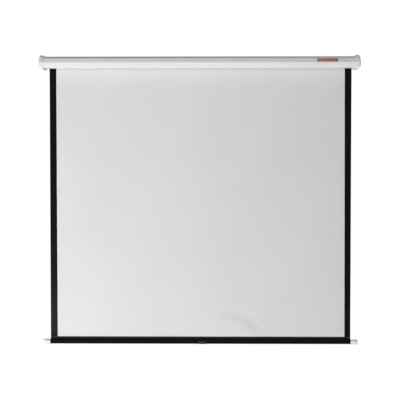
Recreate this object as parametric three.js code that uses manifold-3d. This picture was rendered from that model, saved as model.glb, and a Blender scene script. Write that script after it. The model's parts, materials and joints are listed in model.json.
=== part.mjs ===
// A spring-roller projection screen: a long case for a wall or a ceiling, a sprung roller in it,
// and a bordered screen cloth that is pulled down by the bar in its hem.
// Millimetres. X runs along the case, the front faces -Y, the wall is the plane Y = 0 and Z is up.
// The origin is the middle of the case's back face. Shown fully pulled down.
import * as THREE from "three";
import { mergeVertices } from "three/addons/utils/BufferGeometryUtils.js";
import Module from "manifold-3d";

const wasm = await Module();
wasm.setup();

// Fits and counts shared by all pieces
const fitGap = 0.2; // round a piece that fits in another
const seatGap = 0.3; // between a piece and the one it rests on
const overrun = 5; // how far a cutter passes the surface that it cuts
const weldDistance = 0.001;
const roundSides = 24;
const smallSides = 12;

// Cloth, border hem and the bar in it
const clothWidth = 1800;
const clothAcross = 6; // its middle, right of the case's middle
const clothThickness = 0.4;
const clothDrop = 1647; // from under the case to the bottom of the hem
const hemHeight = 44;
const hemThickness = 0.6;
const hemNeckHeight = 8; // where the hem's two layers lie together
const barRadius = 12.5;
const barWall = 1.2;
const hemSlack = 0.3; // between the bar and its hem
const puckerDepth = 6; // a soft swelling of the cloth above the hem
const puckerAcross = 215; // its middle, right of the cloth's middle
const puckerHalfWidth = 200;
const puckerHeight = 165;
const puckerStartShare = 0.1; // of its rise, reached already at the hem

// Case, a bent steel channel with a slot along its underside
const caseHeight = 70;
const caseDepth = 68;
const caseWall = 1.2;
const caseMargin = 26; // case beyond the cloth at each end
const creaseDrop = 5; // the front's crease below mid-height
const slopeAngle = THREE.MathUtils.degToRad(25); // front's middle face, from upright
const facetHeight = 13.5; // of the front's top face
const facetAngle = THREE.MathUtils.degToRad(54);
const caseTopRadius = 4;
const caseLowerRadius = 3;
const caseBackRadius = 2;
const creaseRadius = 2;
const slotWidth = 16;
const lipHeight = 6;

// End caps, moulded, with a rim that stands out from the case
const capLap = 12; // cap over the case's end
const capLength = 36;
const capRise = 7.5;
const capUnder = 7;
const capProud = 3;
const capTaper = 14;
const capWall = 2.2;
const collarRise = 1.4;
const capUpperRadius = 8;
const capLowerRadius = 20;
const capFrontRadius = 8;

// Brackets, one in each cap, which carry the roller and hang the case
const bracketSteel = 2;
const wallLegWidth = 17.8;
const wallLegTop = 34;
const wallLegBottom = -22;
const ceilingLegWidth = 11.8;
const ceilingLegBack = 8;
const ceilingLegDepth = 26;
const tabLength = 24;
const keyholeRadius = 5;
const keyholeSlotRadius = 2.7;
const keyholeRise = 11;
const keyholeBelow = 3; // its round hole below the middle of the case
const ceilingHoleRadius = 2.8;
const ceilingHoleRun = 7;

// Screws and rivets
const screwRadius = 1.75;
const screwHeadRadius = 3.6;
const screwHeadHeight = 2;
const screwSink = 2.4; // depth of the head's recess
const screwGrip = 5; // screw beyond the bracket plate
const bossRadius = 5.5;
const upperScrew = { back: 14, up: 18 };
const lowerScrew = { back: 46, up: -12 };
const rivetRadius = 2;
const rivetHeadRadius = 4;
const rivetHeadHeight = 1.4;
const rivetInset = 18; // from the case's end
const rivetSpacing = 18;

// Roller
const rollerSetback = 37.5; // its axis from the wall
const rollerRadius = 18;
const rollerWall = 1;
const rollerMargin = 7; // tube beyond half the cloth's width at each end
const wrapGap = 0.35; // tube to the first layer of cloth
const wrapPitch = 0.85;
const wrapTurns = 1.5;
const plugDepth = 24;
const flangeThickness = 3;

// Lock: two pawls on the roller and a notched ring on the still mandrel
const rimDepth = 7;
const rimWall = 1.6;
const ratchetRadius = 8;
const notchDepth = 2.4;
const notchGap = 0.5; // between the notch's floor and the pawl's nose
const notchBack = 2.4; // the locking face behind the nose's middle
const notchFront = 2.2;
const notchRamp = 3.2;
const pawlPinAcross = 9.8;
const pawlPinUp = 9.6;
const pawlPinRadius = 1.5;
const pawlHubRadius = 2.6;
const pawlNoseWidth = 3;
const pawlArmUnder = 1;
const pawlArmOver = 3.4;
const pawlCornerRadius = 0.3;
const pawlLift = THREE.MathUtils.degToRad(16);
const keeperThickness = 1.5;
const keeperGap = 0.8; // round the mandrel

// Spring and its still mandrel
const mandrelRadius = 4;
const mandrelLength = 567;
const spearThickness = 3;
const spearWidth = 7;
const spearProud = 3.5; // spear beyond the bracket plate
const anchorRadius = 7;
const anchorLength = 14;
const anchorInset = 4; // from the lock plug
const driveLength = 24;
const bearingRadius = 6;
const springRadius = 9;
const wireRadius = 1.1;
const springTurns = 24;
const stepsPerTurn = 8;
const wireSides = 5;

// Idle end
const idlePinProud = 4;
const bushRadius = 6;
const bushFlangeRadius = 8;
const bushFlange = 1.5;

// Bar ends and pull grip
const knobNeckRadius = 10;
const knobNeckLength = 16;
const knobRadius = 16;
const knobLength = 25;
const knobEdge = 3;
const knobBarrel = 25;
const gripWidth = 44;
const gripOffset = 12; // right of the bar's middle
const gripWall = 1.4;
const gripFront = THREE.MathUtils.degToRad(157.5); // its ends, turned from the wall side over the top
const gripBack = THREE.MathUtils.degToRad(337.5);
const lipReach = 11;
const lipThickness = 2.4;
const lipRise = 6;
const lipBelow = 6; // its underside below the bar's axis

// Plain label bar on the sloping face
const labelLength = 120;
const labelHeight = 23;
const labelThickness = 0.5;
const labelInset = 110; // from the case's end
const labelUp = 7;

// Places worked out from the sizes
const caseEnd = clothWidth / 2 + caseMargin;
const caseTop = caseHeight / 2;
const caseBottom = -caseHeight / 2;
const collarStart = caseEnd - capLap;
const capOuter = collarStart + capLength;
const capTop = caseTop + capRise;
const capBottom = caseBottom - capUnder;
const plateInner = caseEnd + seatGap;
const plateOuter = plateInner + bracketSteel;
const rollerEnd = clothWidth / 2 + rollerMargin;
const flangeEnd = rollerEnd + flangeThickness;
const rimEnd = flangeEnd + rimDepth;
const keeperStart = rimEnd + seatGap;
const keeperEnd = keeperStart + keeperThickness;
const tubeBore = rollerRadius - rollerWall;
const plugRadius = tubeBore - fitGap;
const firstWrap = rollerRadius + wrapGap + clothThickness / 2;
const lastWrap = firstWrap + wrapTurns * wrapPitch;
const clothY = lastWrap - rollerSetback;
const hemBottom = caseBottom - clothDrop;
const hemTop = hemBottom + hemHeight;
const hemInner = barRadius + hemSlack;
const hemOuter = hemInner + hemThickness;
const barZ = hemBottom + hemOuter;

const xAxis = new THREE.Vector3(1, 0, 0);
const yAxis = new THREE.Vector3(0, 1, 0);
const zAxis = new THREE.Vector3(0, 0, 1);
const acrossToX = new THREE.Matrix4().makeBasis(yAxis, zAxis, xAxis);

// Finishes
function finish(color, roughness, metalness = 0) {
  return new THREE.MeshStandardMaterial({ color, roughness, metalness });
}
const casePaint = () => finish(0xe9ebea, 0.35);
const capPlastic = () => finish(0xe2e2e0, 0.5);
const clothFace = () => finish(0xdfe0e0, 0.9);
const borderCloth = () => finish(0x141416, 0.85);
const zincSteel = () => finish(0xb4b8bc, 0.4, 1);
const darkSteel = () => finish(0x6d7074, 0.45, 1);
const knobPlastic = () => finish(0xc9cbcc, 0.45);
const nylon = () => finish(0xe8e4d8, 0.6);

// The points of an outline from its corners [across, up, radius], each radius as an arc.
function outline(corners) {
  const points = [];
  corners.forEach(([across, up, radius = 0], i) => {
    const here = new THREE.Vector2(across, up);
    if (radius === 0) {
      points.push(here);
      return;
    }
    const before = corners.at(i - 1);
    const after = corners[(i + 1) % corners.length];
    const back = new THREE.Vector2(before[0], before[1]).sub(here).normalize();
    const on = new THREE.Vector2(after[0], after[1]).sub(here).normalize();
    const half = Math.acos(back.dot(on)) / 2;
    const toCentre = back.clone().add(on).normalize().multiplyScalar(radius / Math.sin(half));
    const centre = here.clone().add(toCentre);
    const start = back.clone().multiplyScalar(radius / Math.tan(half)).add(here);
    const turn = Math.PI - 2 * half;
    const sense = -Math.sign(back.cross(on));
    const steps = Math.max(2, Math.round((turn * roundSides) / (2 * Math.PI)));
    for (let k = 0; k <= steps; k += 1) {
      points.push(start.clone().rotateAround(centre, (sense * turn * k) / steps));
    }
  });
  return points;
}

function box(lowX, highX, lowY, highY, lowZ, highZ) {
  const geometry = new THREE.BoxGeometry(highX - lowX, highY - lowY, highZ - lowZ);
  return geometry.translate((lowX + highX) / 2, (lowY + highY) / 2, (lowZ + highZ) / 2);
}

// An outline in Y and Z, extruded along X.
function alongX(points, from, to, holes = []) {
  const shape = new THREE.Shape(points);
  shape.holes = holes.map((hole) => new THREE.Path(hole));
  const geometry = new THREE.ExtrudeGeometry(shape, { depth: to - from, bevelEnabled: false });
  return geometry.applyMatrix4(acrossToX).translate(from, 0, 0);
}

// An outline in X and Z, extruded along Y.
function alongY(points, from, to) {
  const geometry = new THREE.ExtrudeGeometry(new THREE.Shape(points), {
    depth: to - from,
    bevelEnabled: false,
  });
  return geometry.rotateX(Math.PI / 2).translate(0, to, 0);
}

// An outline in X and Y, extruded along Z.
function alongZ(points, from, to) {
  const geometry = new THREE.ExtrudeGeometry(new THREE.Shape(points), {
    depth: to - from,
    bevelEnabled: false,
  });
  return geometry.translate(0, 0, from);
}

// A turned piece on the X axis, from its half section [x, radius].
function turned(section, sides = roundSides) {
  const points = section.map(([x, radius]) => new THREE.Vector2(radius, x));
  return new THREE.LatheGeometry(points, sides).rotateZ(-Math.PI / 2);
}

// A turned ring on the X axis.
function ring(inner, outer, from, to, sides = roundSides) {
  return turned([[from, inner], [from, outer], [to, outer], [to, inner], [from, inner]], sides);
}

// A rod on the X axis.
function rod(radius, from, to, sides = roundSides) {
  return turned([[from, 0], [from, radius], [to, radius], [to, 0]], sides);
}

function solidOf(geometry) {
  const bare = geometry.clone();
  bare.deleteAttribute("normal");
  bare.deleteAttribute("uv");
  const welded = mergeVertices(bare, weldDistance);
  return new wasm.Manifold(
    new wasm.Mesh({
      numProp: 3,
      vertProperties: new Float32Array(welded.attributes.position.array),
      triVerts: new Uint32Array(welded.index.array),
    }),
  );
}

function geometryOf(solid) {
  const mesh = solid.getMesh();
  const geometry = new THREE.BufferGeometry();
  geometry.setAttribute("position", new THREE.BufferAttribute(mesh.vertProperties, 3));
  geometry.setIndex(new THREE.BufferAttribute(mesh.triVerts, 1));
  return geometry;
}

function join(...pieces) {
  return geometryOf(pieces.map(solidOf).reduce((whole, piece) => whole.add(piece)));
}

function cut(body, ...cutters) {
  return geometryOf(cutters.map(solidOf).reduce((whole, cutter) => whole.subtract(cutter), solidOf(body)));
}

function common(...pieces) {
  return geometryOf(pieces.map(solidOf).reduce((whole, piece) => whole.intersect(piece)));
}

const projectionScreen = new THREE.Group();
const rightSide = new THREE.Group();
const leftSide = new THREE.Group();
leftSide.scale.x = -1;
const roller = new THREE.Group();
roller.position.set(0, -rollerSetback, 0);
const leftRoller = new THREE.Group();
leftRoller.scale.x = -1;
const bar = new THREE.Group();
bar.position.set(clothAcross, clothY, barZ);
roller.add(leftRoller);
projectionScreen.add(rightSide, leftSide, roller, bar);

function place(parent, name, geometry, material) {
  const mesh = new THREE.Mesh(geometry, material);
  mesh.name = name;
  parent.add(mesh);
  return mesh;
}

// The front outline that case and caps share: flat back and top, a narrow top face, a sloping
// middle face down to a crease, and an upright lower face. It shrinks by inset.
function casedOutline({ depth, top, bottom, topRadius, lowerRadius }, inset = 0) {
  const creaseZ = -creaseDrop - inset * Math.tan(slopeAngle / 2);
  const front = inset - depth;
  const slopeRun = Math.tan(slopeAngle);
  const facetRun = Math.tan(facetAngle);
  const slopeStep = 1 / Math.cos(slopeAngle);
  const facetStep = 1 / Math.cos(facetAngle);
  const facetFoot = top - facetHeight;
  const footAcross = (facetFoot + creaseDrop) * slopeRun - depth;
  const footDrop = (inset * (facetStep - slopeStep)) / (facetRun - slopeRun);
  const facetTop = footAcross + (facetHeight - inset) * facetRun + inset * facetStep;
  return outline([
    [-inset, bottom + inset, caseBackRadius],
    [-inset, top - inset, caseBackRadius],
    [facetTop, top - inset, topRadius - inset],
    [footAcross + inset * slopeStep - footDrop * slopeRun, facetFoot - footDrop, topRadius - inset],
    [front, creaseZ, creaseRadius],
    [front, bottom + inset, lowerRadius - inset],
  ]);
}
const caseForm = {
  depth: caseDepth,
  top: caseTop,
  bottom: caseBottom,
  topRadius: caseTopRadius,
  lowerRadius: caseLowerRadius,
};
const capForm = {
  depth: caseDepth + capProud,
  top: capTop,
  bottom: capBottom,
  topRadius: caseTopRadius + capProud,
  lowerRadius: caseLowerRadius + capProud,
};

const rivetX = caseEnd - rivetInset;
const rivetPlaces = ["back", "front"].map((name, i) => ({
  name,
  y: -ceilingLegBack - ceilingLegDepth / 2 + (0.5 - i) * rivetSpacing,
}));

function uprightRod(radius, x, y, low, high, sides = smallSides) {
  return new THREE.CylinderGeometry(radius, radius, high - low, sides)
    .rotateX(Math.PI / 2)
    .translate(x, y, (low + high) / 2);
}

function makeCase() {
  const slotBack = clothY + slotWidth / 2;
  const slotFront = clothY - slotWidth / 2;
  const channel = cut(
    alongX(casedOutline(caseForm), -caseEnd, caseEnd),
    alongX(casedOutline(caseForm, caseWall), -caseEnd - overrun, caseEnd + overrun),
    box(-caseEnd - overrun, caseEnd + overrun, slotFront, slotBack, caseBottom - overrun, 0),
  );
  const lipTop = caseBottom + lipHeight;
  const lips = [
    box(-caseEnd, caseEnd, slotBack, slotBack + caseWall, caseBottom, lipTop),
    box(-caseEnd, caseEnd, slotFront - caseWall, slotFront, caseBottom, lipTop),
  ];
  const holes = [-rivetX, rivetX].flatMap((x) =>
    rivetPlaces.map(({ y }) => uprightRod(rivetRadius + fitGap, x, y, 0, caseTop + overrun)),
  );
  place(projectionScreen, "case_shell", cut(join(channel, ...lips), ...holes), casePaint());
}

const wallLegEnd = plateOuter + wallLegWidth;
const ceilingLegEnd = plateOuter + ceilingLegWidth;
const screwPlaces = { upper: upperScrew, lower: lowerScrew };

// A rod along each screw's axis.
function atScrews(radius, from, to) {
  return Object.values(screwPlaces).map(({ back, up }) =>
    rod(radius, from, to, smallSides).translate(0, -back, up),
  );
}

// The cap's body, filled, and smaller all round by inset: what its front, side and top outlines share.
function capBlock(inset) {
  const start = inset === 0 ? collarStart : collarStart - overrun;
  const end = capOuter - inset;
  const taperEnd = collarStart + capTaper;
  const frontView = outline([
    [start, caseBottom - collarRise + inset],
    [taperEnd, capBottom + inset],
    [end, capBottom + inset, capLowerRadius - inset],
    [end, capTop - inset, capUpperRadius - inset],
    [taperEnd, capTop - inset],
    [start, caseTop + collarRise - inset],
  ]);
  const topView = outline([
    [start, inset - caseDepth - collarRise],
    [taperEnd, inset - caseDepth - capProud],
    [end, inset - caseDepth - capProud, capFrontRadius - inset],
    [end, -inset],
    [start, -inset],
  ]);
  return common(
    alongX(casedOutline(capForm, inset), start, end),
    alongY(frontView, -caseDepth - overrun, overrun),
    alongZ(topView, capBottom - overrun, capTop + overrun),
  );
}

function makeCap(side, sideName) {
  const lined = cut(
    capBlock(0),
    capBlock(capWall),
    alongX(casedOutline(caseForm, -fitGap), collarStart - overrun, plateInner),
    box(
      collarStart - overrun,
      wallLegEnd + seatGap,
      -capWall - seatGap,
      overrun,
      wallLegBottom - seatGap,
      wallLegTop + seatGap,
    ),
    box(
      caseEnd - seatGap,
      ceilingLegEnd + seatGap,
      -ceilingLegBack - ceilingLegDepth - seatGap,
      seatGap - ceilingLegBack,
      capTop - capWall - capTaper / 2,
      capTop + overrun,
    ),
  );
  const bosses = atScrews(bossRadius, plateOuter + seatGap, capOuter - capWall / 2);
  const holes = [
    ...atScrews(screwRadius + fitGap, plateInner, capOuter + overrun),
    ...atScrews(screwHeadRadius + fitGap, capOuter - screwSink, capOuter + overrun),
  ];
  place(side, `end_cap_${sideName}`, cut(join(lined, ...bosses), ...holes), capPlastic());
}

function keyhole(x) {
  const mouth = new THREE.CylinderGeometry(keyholeRadius, keyholeRadius, overrun * 2, roundSides);
  const slotTop = new THREE.CylinderGeometry(keyholeSlotRadius, keyholeSlotRadius, overrun * 2, smallSides);
  const top = keyholeRise - keyholeBelow;
  return join(
    mouth.translate(x, 0, -keyholeBelow),
    slotTop.translate(x, 0, top),
    box(x - keyholeSlotRadius, x + keyholeSlotRadius, -overrun, overrun, -keyholeBelow, top),
  );
}

function ceilingSlot(x) {
  const middle = -ceilingLegBack - ceilingLegDepth / 2;
  const half = ceilingHoleRun / 2;
  const low = capTop - overrun;
  const high = capTop + overrun;
  return join(
    uprightRod(ceilingHoleRadius, x, middle - half, low, high),
    uprightRod(ceilingHoleRadius, x, middle + half, low, high),
    box(x - ceilingHoleRadius, x + ceilingHoleRadius, middle - half, middle + half, low, high),
  );
}

function makeBracket(side, sideName, axleHole) {
  const legFront = -ceilingLegBack - ceilingLegDepth;
  const tabTop = caseTop - caseWall - seatGap;
  const plateBack = -capWall - 2 * seatGap;
  const plate = common(
    alongX(casedOutline(caseForm, seatGap), plateInner, plateOuter),
    box(plateInner - overrun, plateOuter + overrun, -caseDepth, plateBack, caseBottom, caseTop),
  );
  const body = join(
    plate,
    box(plateInner, wallLegEnd, -bracketSteel, 0, wallLegBottom, wallLegTop),
    box(plateInner, plateOuter, plateBack - overrun, 0, wallLegBottom, wallLegTop - bracketSteel),
    box(plateInner, ceilingLegEnd, legFront, -ceilingLegBack, capTop - bracketSteel, capTop),
    box(plateInner, plateOuter, legFront, -ceilingLegBack, tabTop - bracketSteel, capTop),
    box(caseEnd - tabLength, plateOuter, legFront, -ceilingLegBack, tabTop - bracketSteel, tabTop),
  );
  const screwHoles = atScrews(screwRadius + fitGap, plateInner - overrun, plateOuter + overrun);
  const rivetHoles = rivetPlaces.map(({ y }) => uprightRod(rivetRadius + fitGap, rivetX, y, 0, caseTop));
  const holes = [
    keyhole((plateOuter + wallLegEnd) / 2),
    ceilingSlot((plateOuter + ceilingLegEnd) / 2),
    axleHole,
    ...screwHoles,
    ...rivetHoles,
  ];
  place(side, `bracket_${sideName}`, cut(body, ...holes), zincSteel());
}

function makeScrews(side, sideName) {
  const seat = capOuter - screwSink;
  const tip = plateInner - screwGrip;
  const section = [
    [tip, 0],
    [tip + screwRadius, screwRadius],
    [seat, screwRadius],
    [seat, screwHeadRadius],
    [seat + screwHeadHeight / 2, screwHeadRadius],
    [seat + screwHeadHeight, screwHeadRadius / 2],
    [seat + screwHeadHeight, 0],
  ];
  Object.entries(screwPlaces).forEach(([name, { back, up }]) => {
    const screw = turned(section, smallSides).translate(seatGap, -back, up);
    place(side, `cap_screw_${sideName}_${name}`, screw, darkSteel());
  });
}

function makeRivets(side, sideName) {
  const tabUnder = caseTop - caseWall - seatGap - bracketSteel;
  const tail = tabUnder - seatGap;
  const section = [
    [tail - rivetRadius, 0],
    [tail - rivetRadius, rivetRadius],
    [tail, rivetRadius + 2 * fitGap],
    [tail, rivetRadius],
    [caseTop + seatGap, rivetRadius],
    [caseTop + seatGap, rivetHeadRadius],
    [caseTop + seatGap + rivetHeadHeight, rivetHeadRadius / 2],
    [caseTop + seatGap + rivetHeadHeight, 0],
  ];
  rivetPlaces.forEach(({ name, y }) => {
    const rivet = turned(section, smallSides).rotateY(-Math.PI / 2).translate(rivetX, y, 0);
    place(side, `case_rivet_${sideName}_${name}`, rivet, zincSteel());
  });
}

function makeLabel() {
  const holder = new THREE.Group();
  const middle = caseEnd - labelInset - labelLength / 2;
  const slopeBack = (labelUp + creaseDrop) * Math.tan(slopeAngle);
  holder.position.set(middle, slopeBack - caseDepth, labelUp);
  holder.rotation.x = -slopeAngle;
  projectionScreen.add(holder);
  const plate = new THREE.BoxGeometry(labelLength, labelThickness, labelHeight);
  plate.translate(0, -seatGap - labelThickness / 2, 0);
  place(holder, "label_plate", plate, finish(0xb02a3a, 0.4));
}

// The cloth's hanging stretch: a thin sheet with a soft swelling above the hem.
function makeCloth() {
  const columns = 24;
  const rows = 20;
  const rowCrowdingShare = 1.7; // rows lie closer together towards the hem
  const top = -seatGap;
  const bottom = hemTop + seatGap;
  const sheet = new THREE.BoxGeometry(clothWidth, clothThickness, top - bottom, columns, 1, rows);
  const at = sheet.attributes.position;
  for (let i = 0; i < at.count; i += 1) {
    const share = THREE.MathUtils.clamp(at.getZ(i) / (top - bottom) + 0.5, 0, 1);
    const z = bottom + (top - bottom) * share ** rowCrowdingShare;
    const across = (at.getX(i) - puckerAcross) / puckerHalfWidth;
    const up = (z - bottom) / puckerHeight;
    const rise = Math.sin(Math.PI * Math.min(1, up + puckerStartShare));
    const swell = Math.max(0, 1 - across ** 2) * Math.max(0, 1 - up) * rise;
    at.setY(i, at.getY(i) - puckerDepth * Math.max(0, swell));
    at.setZ(i, z);
  }
  const holder = new THREE.Group();
  holder.position.set(clothAcross, clothY, 0);
  projectionScreen.add(holder);
  place(holder, "screen_cloth", sheet, clothFace());
}

// The cloth still on the tube: it leaves at the back, so it winds inwards over the top.
function makeWraps() {
  const steps = wrapTurns * roundSides;
  const side = (offset) =>
    Array.from({ length: steps + 1 }, (_, i) => {
      const angle = (2 * Math.PI * i) / roundSides;
      const radius = lastWrap - (wrapPitch * i) / roundSides + offset;
      return new THREE.Vector2(radius * Math.cos(angle), radius * Math.sin(angle));
    });
  const outer = side(clothThickness / 2);
  const inner = side(-clothThickness / 2).reverse();
  const from = clothAcross - clothWidth / 2;
  place(roller, "cloth_wraps", alongX([...outer, ...inner], from, from + clothWidth), clothFace());
}

function makeRollerTube() {
  place(roller, "roller_tube", ring(tubeBore, rollerRadius, -rollerEnd, rollerEnd), zincSteel());
}

// The cutter of a hole for each pawl pin.
function atPawlPins(from, to) {
  return [1, -1].map((turn) =>
    rod(pawlPinRadius + fitGap, from, to, smallSides)
      .translate(0, turn * pawlPinAcross, turn * pawlPinUp),
  );
}

function makeLockPlug() {
  const bore = mandrelRadius + fitGap;
  const plug = turned([
    [rollerEnd - plugDepth, bore],
    [rollerEnd - plugDepth, plugRadius],
    [rollerEnd + fitGap, plugRadius],
    [rollerEnd + fitGap, rollerRadius],
    [rimEnd, rollerRadius],
    [rimEnd, rollerRadius - rimWall],
    [flangeEnd, rollerRadius - rimWall],
    [flangeEnd, bore],
    [rollerEnd - plugDepth, bore],
  ]);
  const pinHoles = atPawlPins(rollerEnd, rimEnd);
  place(leftRoller, "lock_end_plug", cut(plug, ...pinHoles), nylon());
}

// The ring's notches have a steep face that stops the pawl and a ramp that lets it ride out.
function makeRatchet() {
  const floor = ratchetRadius - notchDepth;
  const high = ratchetRadius + overrun;
  const notch = [
    [-notchBack, floor],
    [notchFront, floor],
    [notchFront + notchRamp, floor + 2 * notchGap],
    [notchFront + notchRamp, high],
    [-notchBack, high],
  ];
  const notches = [1, -1].map((turn) =>
    alongX(outline(notch.map(([across, up]) => [turn * across, turn * up])), flangeEnd, rimEnd + overrun),
  );
  const blank = ring(mandrelRadius + fitGap, ratchetRadius, flangeEnd + seatGap, rimEnd - seatGap);
  const mesh = place(leftSide, "ratchet_ring", cut(blank, ...notches), darkSteel());
  mesh.position.y = -rollerSetback;
}

// A pawl about its pin, in its notch, then lifted clear of the ring.
function makePawls() {
  const noseFar = -pawlPinAcross - pawlNoseWidth / 2;
  const noseNear = -pawlPinAcross + pawlNoseWidth / 2;
  const noseTip = ratchetRadius - notchDepth + notchGap - pawlPinUp;
  const arm = outline([
    [0, -pawlHubRadius],
    [0, pawlHubRadius],
    [noseFar, pawlArmOver, pawlCornerRadius],
    [noseFar, noseTip, pawlCornerRadius],
    [noseNear, noseTip, pawlCornerRadius],
    [noseNear, -pawlArmUnder],
  ]);
  const from = flangeEnd + seatGap;
  const to = rimEnd - seatGap;
  const body = join(alongX(arm, from, to), rod(pawlHubRadius, from, to, smallSides));
  const pawl = cut(body, rod(pawlPinRadius + fitGap, flangeEnd, rimEnd, smallSides));
  const pin = rod(pawlPinRadius, rollerEnd + seatGap, keeperEnd, smallSides);
  [["upper", 0], ["lower", Math.PI]].forEach(([name, turn]) => {
    const about = new THREE.Group();
    about.rotation.x = turn;
    leftRoller.add(about);
    const pivot = new THREE.Group();
    pivot.position.set(0, pawlPinAcross, pawlPinUp);
    about.add(pivot);
    place(pivot, `pawl_pin_${name}`, pin, zincSteel());
    place(pivot, `pawl_${name}`, pawl, darkSteel()).rotation.x = -pawlLift;
  });
}

function makeKeeper() {
  const disc = ring(mandrelRadius + keeperGap, rollerRadius, keeperStart, keeperEnd);
  const holes = atPawlPins(rimEnd, keeperEnd + overrun);
  place(leftRoller, "pawl_keeper", cut(disc, ...holes), zincSteel());
}

const mandrelOuter = keeperEnd + seatGap;
const mandrelInner = mandrelOuter - mandrelLength;
const driveEnd = mandrelInner + driveLength;
const anchorEnd = rollerEnd - plugDepth - anchorInset;

function makeMandrel() {
  const round = rod(mandrelRadius, mandrelInner + fitGap, mandrelOuter);
  const flat = box(
    mandrelOuter - spearWidth,
    plateOuter + spearProud,
    -spearThickness / 2,
    spearThickness / 2,
    -spearWidth / 2,
    spearWidth / 2,
  );
  place(leftSide, "spring_mandrel", join(round, flat), zincSteel()).position.y = -rollerSetback;
  const anchor = ring(mandrelRadius + fitGap, anchorRadius, anchorEnd - anchorLength, anchorEnd);
  place(leftSide, "mandrel_anchor", anchor, darkSteel()).position.y = -rollerSetback;
}

class Helix extends THREE.Curve {
  constructor(radius, from, to, turns) {
    super();
    Object.assign(this, { radius, from, to, turns });
  }

  getPoint(t, target = new THREE.Vector3()) {
    const angle = 2 * Math.PI * this.turns * t;
    const x = this.from + (this.to - this.from) * t;
    return target.set(x, this.radius * Math.cos(angle), this.radius * Math.sin(angle));
  }
}

function makeSpring() {
  const inset = wireRadius + seatGap;
  const path = new Helix(springRadius, driveEnd + inset, anchorEnd - anchorLength - inset, springTurns);
  const wire = new THREE.Shape(
    Array.from({ length: wireSides }, (_, i) => {
      const angle = (2 * Math.PI * i) / wireSides;
      return new THREE.Vector2(wireRadius * Math.cos(angle), wireRadius * Math.sin(angle));
    }),
  );
  const spring = new THREE.ExtrudeGeometry(wire, {
    steps: springTurns * stepsPerTurn,
    extrudePath: path,
  });
  place(leftSide, "torsion_spring", spring, darkSteel()).position.y = -rollerSetback;
}

function makeDrive() {
  const plug = ring(bearingRadius + fitGap, plugRadius, mandrelInner, driveEnd);
  place(leftRoller, "spring_drive_plug", plug, darkSteel());
  const bearing = ring(mandrelRadius + fitGap, bearingRadius, mandrelInner, driveEnd);
  place(leftRoller, "mandrel_bearing", bearing, nylon());
}

function makeIdleEnd() {
  const pinEnd = plateOuter + idlePinProud;
  const plug = turned([
    [rollerEnd - plugDepth, mandrelRadius + fitGap],
    [rollerEnd - plugDepth, plugRadius],
    [rollerEnd + fitGap, plugRadius],
    [rollerEnd + fitGap, rollerRadius],
    [flangeEnd, rollerRadius],
    [flangeEnd, mandrelRadius + fitGap],
    [rollerEnd - plugDepth, mandrelRadius + fitGap],
  ]);
  place(roller, "idle_end_plug", plug, nylon());
  place(roller, "idle_pin", rod(mandrelRadius, rollerEnd - plugDepth, pinEnd), zincSteel());
  const bore = mandrelRadius + fitGap;
  const bushStart = plateInner - seatGap;
  const bush = turned([
    [bushStart - bushFlange, bore],
    [bushStart - bushFlange, bushFlangeRadius],
    [bushStart, bushFlangeRadius],
    [bushStart, bushRadius],
    [plateOuter + fitGap, bushRadius],
    [plateOuter + fitGap, bore],
    [bushStart - bushFlange, bore],
  ]);
  place(rightSide, "idle_bush", bush, nylon()).position.y = -rollerSetback;
}

// A ring that narrows to a point above, round the bar: where its two sides meet is `reach` up.
function teardrop(radius, reach) {
  const tangent = Math.acos(radius / reach);
  const start = Math.PI / 2 + tangent;
  const sweep = 2 * (Math.PI - tangent);
  const steps = roundSides;
  return Array.from({ length: steps + 1 }, (_, i) => {
    const angle = start + (sweep * i) / steps;
    return new THREE.Vector2(radius * Math.cos(angle), radius * Math.sin(angle));
  });
}

function makeBar() {
  const half = clothWidth / 2;
  const neckTop = hemTop - barZ;
  const neckBottom = neckTop - hemNeckHeight;
  const outer = [
    ...teardrop(hemOuter, neckBottom),
    new THREE.Vector2(hemThickness, neckBottom),
    new THREE.Vector2(hemThickness, neckTop),
    new THREE.Vector2(-hemThickness, neckTop),
    new THREE.Vector2(-hemThickness, neckBottom),
  ];
  const innerReach = neckBottom * (hemInner / hemOuter);
  const hole = [...teardrop(hemInner, innerReach), new THREE.Vector2(0, innerReach)];
  place(bar, "hem_pocket", alongX(outer, -half, half, [hole]), borderCloth());
  place(bar, "bottom_tube", ring(barRadius - barWall, barRadius, -half, half), darkSteel());
}

function makeKnobs() {
  const start = clothWidth / 2 + seatGap;
  const neckEnd = start + knobNeckLength;
  const end = neckEnd + knobLength;
  const barrel = barRadius - barWall - fitGap;
  const groove = knobEdge / 2;
  const knob = [
    [start - knobBarrel, 0],
    [start - knobBarrel, barrel],
    [start, barrel],
    [start, barRadius],
    [start + groove, barRadius],
    [start + groove, knobNeckRadius],
    [neckEnd, knobNeckRadius],
    [neckEnd, knobRadius - groove],
    [neckEnd + groove, knobRadius],
    [end - knobEdge, knobRadius],
    [end - groove / 2, knobRadius - groove],
    [end, knobRadius - knobEdge],
    [end, 0],
  ];
  [["right", 1], ["left", -1]].forEach(([name, turn]) => {
    const mesh = place(bar, `bar_knob_${name}`, turned(knob), knobPlastic());
    mesh.scale.x = turn;
  });
}

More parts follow.
